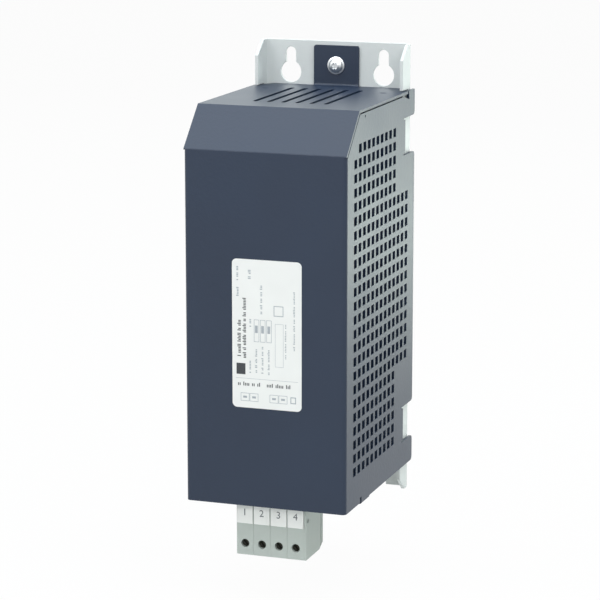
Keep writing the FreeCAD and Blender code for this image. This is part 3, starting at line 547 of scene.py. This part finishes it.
def slotted_screw_row(finish):
    """Geometry tree of a row of headless screws along X, whose slots face forwards."""
    tree = bpy.data.node_groups.new("slotted_screw_row", "GeometryNodeTree")
    for size_name, kind in (
            ("Radius", "NodeSocketFloat"), ("Length", "NodeSocketFloat"),
            ("Slot Width", "NodeSocketFloat"), ("Slot Depth", "NodeSocketFloat"),
            ("Slot Turn", "NodeSocketFloat"), ("Count", "NodeSocketInt"),
            ("Pitch", "NodeSocketFloat"), ("First", "NodeSocketVector")):
        tree.interface.new_socket(size_name, in_out="INPUT", socket_type=kind)
    tree.interface.new_socket("Geometry", in_out="OUTPUT", socket_type="NodeSocketGeometry")
    value = add_node(tree, "NodeGroupInput").outputs

    rod = add_node(tree, "GeometryNodeMeshCylinder", {"Vertices": 40},
                   {"Radius": value["Radius"], "Depth": value["Length"]})
    past_rim = add_node(tree, "ShaderNodeMath", {"operation": "MULTIPLY", 1: 3.0},
                        {0: value["Radius"]})
    blade = add_node(tree, "ShaderNodeCombineXYZ", links={
        "X": value["Slot Width"], "Y": past_rim.outputs[0], "Z": value["Slot Depth"]})
    slot_box = add_node(tree, "GeometryNodeMeshCube", links={"Size": blade.outputs["Vector"]})
    half = add_node(tree, "ShaderNodeMath", {"operation": "MULTIPLY", 1: 0.5},
                    {0: value["Length"]})
    lift = add_node(tree, "ShaderNodeCombineXYZ", links={"Z": half.outputs[0]})
    turn = add_node(tree, "ShaderNodeCombineXYZ", links={"Z": value["Slot Turn"]})
    slot_place = add_node(tree, "GeometryNodeTransform", links={
        "Geometry": slot_box.outputs["Mesh"], "Translation": lift.outputs["Vector"],
        "Rotation": turn.outputs["Vector"]})
    cut = add_node(tree, "GeometryNodeMeshBoolean", {"operation": "DIFFERENCE"},
                   {"Mesh 1": rod.outputs["Mesh"], "Mesh 2": slot_place.outputs["Geometry"]})
    laid = add_node(tree, "GeometryNodeTransform", {"Rotation": (math.pi / 2, 0, 0)},
                    {"Geometry": cut.outputs["Mesh"]})
    step = add_node(tree, "ShaderNodeCombineXYZ", links={"X": value["Pitch"]})
    row = add_node(tree, "GeometryNodeMeshLine", links={
        "Count": value["Count"], "Start Location": value["First"],
        "Offset": step.outputs["Vector"]})
    copies = add_node(tree, "GeometryNodeInstanceOnPoints", links={
        "Points": row.outputs["Mesh"], "Instance": laid.outputs["Geometry"]})
    realised = add_node(tree, "GeometryNodeRealizeInstances", links={
        "Geometry": copies.outputs["Instances"]})
    painted = add_node(tree, "GeometryNodeSetMaterial", {"Material": finish},
                       {"Geometry": realised.outputs["Geometry"]})
    add_node(tree, "NodeGroupOutput", links={"Geometry": painted.outputs["Geometry"]})
    return tree


def terminal_screws():
    """The row in place of the four CAD screws, slots turned alike."""
    names = [f"terminal_screw_{pole}" for pole in range(1, 5)]
    low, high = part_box(names[0])
    next_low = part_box(names[1])[0]
    # The screws are drawn in the zinc darkened with painted shade.
    row = grown("terminal_screw_row", slotted_screw_row(zinc_painted_shade), {
        "Radius": (high.x - low.x) / 2, "Length": high.y - low.y,
        "Slot Width": 0.9 * MM, "Slot Depth": 2.4 * MM, "Slot Turn": math.radians(40),
        "Count": len(names), "Pitch": next_low.x - low.x, "First": (low + high) / 2})
    smooth(row.data)
    place(row, names)


terminal_screws()


# Marker tags: plain pole numbers

DIGIT_SIZE, DIGIT_DEPTH = 5.8 * MM, 0.04 * MM


def tag_numbers():
    """One raised digit on the middle of each tag."""
    for number in range(1, 5):
        low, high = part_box(f"marker_tag_{number}")
        name = f"pole_number_{number}"
        text = bpy.data.curves.new(name, "FONT")
        text.body = str(number)
        text.size = DIGIT_SIZE
        text.align_x = text.align_y = "CENTER"
        text.extrude = DIGIT_DEPTH / 2
        carrier = new_object(name + "_text", text)
        mesh = evaluated_mesh(carrier)
        bpy.data.objects.remove(carrier)
        spot = Vector(((low.x + high.x) / 2, low.y - DIGIT_DEPTH / 2, (low.z + high.z) / 2))
        mesh.transform(Matrix.Translation(spot) @ Matrix.Rotation(math.pi / 2, 4, "X"))
        mesh.materials.clear()
        mesh.materials.append(ink_grey)
        ride_as(new_object(name, mesh))


tag_numbers()


# Rating label: film and generic print

label_low, label_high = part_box("rating_label")
label_width = label_high.x - label_low.x
label_height = label_high.z - label_low.z
film_front = label_low.y + 0.05 * MM
ink_front = film_front - 0.02 * MM


def film_outline(radius, steps):
    """The label's rectangle with round corners as (x, z) points."""
    left, right = label_low.x + radius, label_high.x - radius
    low, high = label_low.z + radius, label_high.z - radius
    corners = ((right, high, 0), (left, high, 1), (left, low, 2), (right, low, 3))
    return [(x + radius * math.cos((quarter + step / steps) * math.pi / 2),
             z + radius * math.sin((quarter + step / steps) * math.pi / 2))
            for x, z, quarter in corners for step in range(steps + 1)]


def label_film():
    """The film itself, with round corners."""
    work = bmesh.new()
    add_prism(work, film_outline(2.7 * MM, 10), film_front, label_high.y)
    place(mesh_piece("label_film", work, finishes["label_film"]), ["rating_label"])


def label_spot(across, down):
    """Point of the label from shares of its width and of its height from the top."""
    return label_low.x + across * label_width, label_high.z - down * label_height


def print_bar(work, across, down, wide, tall):
    """Printed rectangle from its upper left corner, in shares of the label."""
    left, high = label_spot(across, down)
    right, low = label_spot(across + wide, down + tall)
    add_prism(work, [(left, low), (right, low), (right, high), (left, high)],
              ink_front, film_front)


def print_frame(work, across, down, wide, tall, line):
    """Printed outline box; line is its thickness in shares of the label's height."""
    thin = line * label_height / label_width
    print_bar(work, across, down, wide, line)
    print_bar(work, across, down + tall - line, wide, line)
    print_bar(work, across, down + line, thin, tall - 2 * line)
    print_bar(work, across + wide - thin, down + line, thin, tall - 2 * line)


def strokes(first, last, room, pitch, space, letters, chance):
    """Where the strokes of a row of words start, and the share by which each is short.

    A stroke needs room before the row's end, the next starts a pitch on, and a word of a random
    number of letters ends in a space.
    """
    start = first
    while start < last:
        for _ in range(chance.randint(*letters)):
            if start + room > last:
                break
            yield start, 0 if chance.random() < 0.35 else 0.28
            start += pitch
        start += space


def print_words(work, across, top, bottom, wide, chance):
    """Upright row of short strokes grouped like words, standing for a line of text."""
    for down, short in strokes(top, bottom, 0.006, 0.0105, 0.012, (2, 8), chance):
        print_bar(work, across + short * wide, down, wide - short * wide, 0.0065)


def print_row(work, first, last, down, tall, chance):
    """The same as print_words for a level row."""
    for across, short in strokes(first, last, 0.014, 0.024, 0.03, (2, 6), chance):
        print_bar(work, across, down + short * tall, 0.014, tall - short * tall)


# Upright rows as (across, top, bottom, width), all in shares of the label
DARK_ROWS = ((0.075, 0.41, 0.66, 0.05), (0.15, 0.26, 0.67, 0.05))
PALE_ROWS = ((0.055, 0.05, 0.15, 0.035), (0.06, 0.19, 0.27, 0.035), (0.23, 0.07, 0.13, 0.04),
             (0.24, 0.40, 0.46, 0.035), (0.24, 0.68, 0.77, 0.03), (0.33, 0.60, 0.77, 0.03),
             (0.42, 0.58, 0.77, 0.03), (0.51, 0.60, 0.77, 0.03), (0.40, 0.17, 0.37, 0.035),
             (0.76, 0.42, 0.66, 0.02), (0.88, 0.20, 0.60, 0.025))


def label_print():
    """Rows of strokes, boxes and a rule in the places of the real print."""
    chance = random.Random(7)
    dark = bmesh.new()
    for across, top, bottom, wide in DARK_ROWS:
        print_words(dark, across, top, bottom, wide, chance)
    print_bar(dark, 0.06, 0.70, 0.13, 0.075)
    for across, last in ((0.08, 0.42), (0.50, 0.84)):
        print_row(dark, across, last, 0.825, 0.026, chance)
    ride_as(mesh_piece("label_print_dark", dark, ink_dark))

    pale = bmesh.new()
    for across, top, bottom, wide in PALE_ROWS:
        print_words(pale, across, top, bottom, wide, chance)
    for column in range(3):
        print_frame(pale, 0.315 + 0.09 * column, 0.40, 0.075, 0.15, 0.003)
        print_bar(pale, 0.33 + 0.09 * column, 0.44, 0.04, 0.05)
    print_frame(pale, 0.62, 0.42, 0.12, 0.29, 0.002)
    print_frame(pale, 0.60, 0.30, 0.14, 0.07, 0.005)
    print_bar(pale, 0.05, 0.80, 0.90, 0.002)
    for across in (0.12, 0.25, 0.54, 0.67):
        print_frame(pale, across, 0.90, 0.125, 0.055, 0.003)
        print_bar(pale, across + 0.035, 0.92, 0.055, 0.014)
    print_frame(pale, 0.84, 0.905, 0.08, 0.045, 0.006)
    ride_as(mesh_piece("label_print_pale", pale, ink_pale))


label_film()
label_print()


# Pressed dimples of the hood's top panel

DIMPLE = {"x": 36.5 * MM, "y": -26 * MM, "radius": 2.2 * MM, "height": 0.3 * MM}
TAB_RISE = 24 * MM  # the fixing tab's height above the top panel


def add_dimple(work, centre, radius, height):
    """Low dome on a level face; the rings hold shares of its radius and height."""
    segments = 24
    rings = []
    for share, rise in ((1, -0.05), (1, 0.0), (0.8, 0.6), (0.4, 0.93)):
        rings.append([work.verts.new(centre + Vector((
            radius * share * math.cos(2 * math.pi * step / segments),
            radius * share * math.sin(2 * math.pi * step / segments), height * rise)))
            for step in range(segments)])
    work.faces.new(rings[0])
    for first, second in zip(rings, rings[1:]):
        for step in range(segments):
            following = (step + 1) % segments
            work.faces.new([first[step], first[following], second[following], second[step]])
    work.faces.new(rings[-1])


def hood_dimples():
    """Two dimples, one each side of the slots, on the panel that the tab rises from."""
    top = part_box("hood")[1].z - TAB_RISE
    work = bmesh.new()
    for side in (-1, 1):
        add_dimple(work, Vector((side * DIMPLE["x"], DIMPLE["y"], top)),
                   DIMPLE["radius"], DIMPLE["height"])
    ride_as(mesh_piece("hood_pips", work, finishes["hood_paint"]))


hood_dimples()


# Camera at the photograph's angle

YAW, PITCH = math.radians(19.356), math.radians(11.806)
AIM = Vector((0, -60 * MM, 120 * MM))
DISTANCE, AIM_RIGHT, AIM_UP = 1494.33 * MM, 2.75 * MM, 12.7 * MM
FOCAL_PIXELS, IMAGE_PIXELS = 2564.0, 600


def camera():
    """Camera on its line of sight to the aim, shifted sideways and up by moving it."""
    forward = Vector((-math.sin(YAW) * math.cos(PITCH), math.cos(YAW) * math.cos(PITCH),
                      -math.sin(PITCH)))
    right = Vector((math.cos(YAW), math.sin(YAW), 0))
    lens = bpy.data.cameras.new("camera")
    lens.sensor_width = 36
    lens.lens = lens.sensor_width * FOCAL_PIXELS / IMAGE_PIXELS
    lens.clip_start, lens.clip_end = 0.1, 20
    holder = new_object("camera", lens)
    holder.rotation_euler = (math.pi / 2 - PITCH, 0, YAW)
    holder.location = (AIM - AIM_RIGHT * right - AIM_UP * right.cross(forward)
                       - DISTANCE * forward)
    bpy.context.scene.camera = holder


camera()


# Studio: pale floor, white surroundings and six softboxes

def softbox(name, centre, aim, width, height, radiance, colour="FFFFFF"):
    """Area lamp of a given radiance that faces a point."""
    lamp = bpy.data.lights.new(name, "AREA")
    lamp.shape = "RECTANGLE"
    lamp.size, lamp.size_y = width, height
    lamp.energy = radiance * math.pi * width * height
    lamp.color = linear(colour)[:3]
    holder = new_object(name, lamp)
    holder.location = centre
    holder.rotation_euler = (Vector(aim) - Vector(centre)).to_track_quat("-Z", "Y").to_euler()


def seen_share(tree):
    """1 for rays from the camera, mirrors and glass, 0 for light that falls on surfaces."""
    path = add_node(tree, "ShaderNodeLightPath").outputs
    total = add_node(tree, "ShaderNodeMath", {"operation": "MAXIMUM"},
                     {0: path["Is Camera Ray"], 1: path["Is Glossy Ray"]})
    return add_node(tree, "ShaderNodeMath", {"operation": "MAXIMUM"},
                    {0: total.outputs[0], 1: path["Is Transmission Ray"]}).outputs[0]


def surroundings(right, front, rear):
    """White studio walls whose light on the object changes with their direction.

    The three values are the walls' strengths to the right, in front and behind.
    """
    world = bpy.data.worlds.new("studio")
    world.use_nodes = True
    tree = world.node_tree
    tree.nodes.clear()
    coordinates = add_node(tree, "ShaderNodeTexCoord")
    toward = add_node(tree, "ShaderNodeSeparateXYZ", links={
        "Vector": coordinates.outputs["Generated"]})
    depth = add_node(tree, "ShaderNodeMapRange", {
        "From Min": -1.0, "From Max": 1.0, "To Min": front, "To Max": rear},
        {"Value": toward.outputs["Y"]})
    wall = add_node(tree, "ShaderNodeMapRange", {
        "From Min": 0.2, "From Max": 0.9, "To Max": right},
        {"Value": toward.outputs["X"], "To Min": depth.outputs["Result"]})
    strength = add_node(tree, "ShaderNodeMapRange", {"To Max": 1.0}, {
        "Value": seen_share(tree), "To Min": wall.outputs["Result"]}).outputs["Result"]
    sky = add_node(tree, "ShaderNodeBackground", {"Color": (1, 1, 1, 1)}, {"Strength": strength})
    add_node(tree, "ShaderNodeOutputWorld", links={"Surface": sky.outputs["Background"]})
    bpy.context.scene.world = world


def floor(height):
    """Matt white studio floor that shows nearly white and keeps a faint shadow."""
    half_width, shown_white = 6, 0.96
    material = bpy.data.materials.new("studio_floor")
    material.use_nodes = True
    tree = material.node_tree
    tree.nodes.clear()
    paint = add_node(tree, "ShaderNodeBsdfDiffuse", {"Color": linear("E6E6E4")})
    glow = add_node(tree, "ShaderNodeEmission", {"Color": (1, 1, 1, 1), "Strength": 1.0})
    share = add_node(tree, "ShaderNodeMapRange", {"To Min": 0.0, "To Max": shown_white},
                     {"Value": seen_share(tree)})
    mixed = add_node(tree, "ShaderNodeMixShader", links={
        0: share.outputs["Result"], 1: paint.outputs["BSDF"], 2: glow.outputs["Emission"]})
    add_node(tree, "ShaderNodeOutputMaterial", links={"Surface": mixed.outputs["Shader"]})
    work = bmesh.new()
    bmesh.ops.create_grid(work, x_segments=1, y_segments=1, size=half_width)
    bmesh.ops.translate(work, verts=work.verts, vec=(0, 0, height))
    mesh = finished_mesh("studio_floor", work)
    mesh.materials.append(material)
    new_object("studio_floor", mesh)


floor(-0.06)
surroundings(right=0.05, front=0.3, rear=0.3)
softbox("overhead", (0.05, -0.25, 1.3), (0, -0.1, 0.1), 2.2, 1.4, 2.2, "EEF8FF")
softbox("right_high", (0.95, -0.85, 1.1), (0, -0.05, 0.12), 0.7, 0.7, 3.6)
softbox("rear", (-0.1, 1.6, 0.95), (0, -0.05, 0.12), 2.4, 1.0, 0.9, "F0FFF8")
softbox("rear_right", (0.95, 1.25, 0.12), (0, -0.05, 0.08), 0.7, 0.3, 6.2, "F0FFF8")
softbox("rear_low", (0.4, 0.7, 0.0), (0.05, -0.03, 0.03), 0.36, 0.1, 5.5, "F0FFF4")
softbox("front_strip", (-0.5, -1.45, 0.75), (0, -0.1, 0.15), 1.7, 0.16, 8.5)
bpy.context.scene.view_settings.view_transform = "Standard"
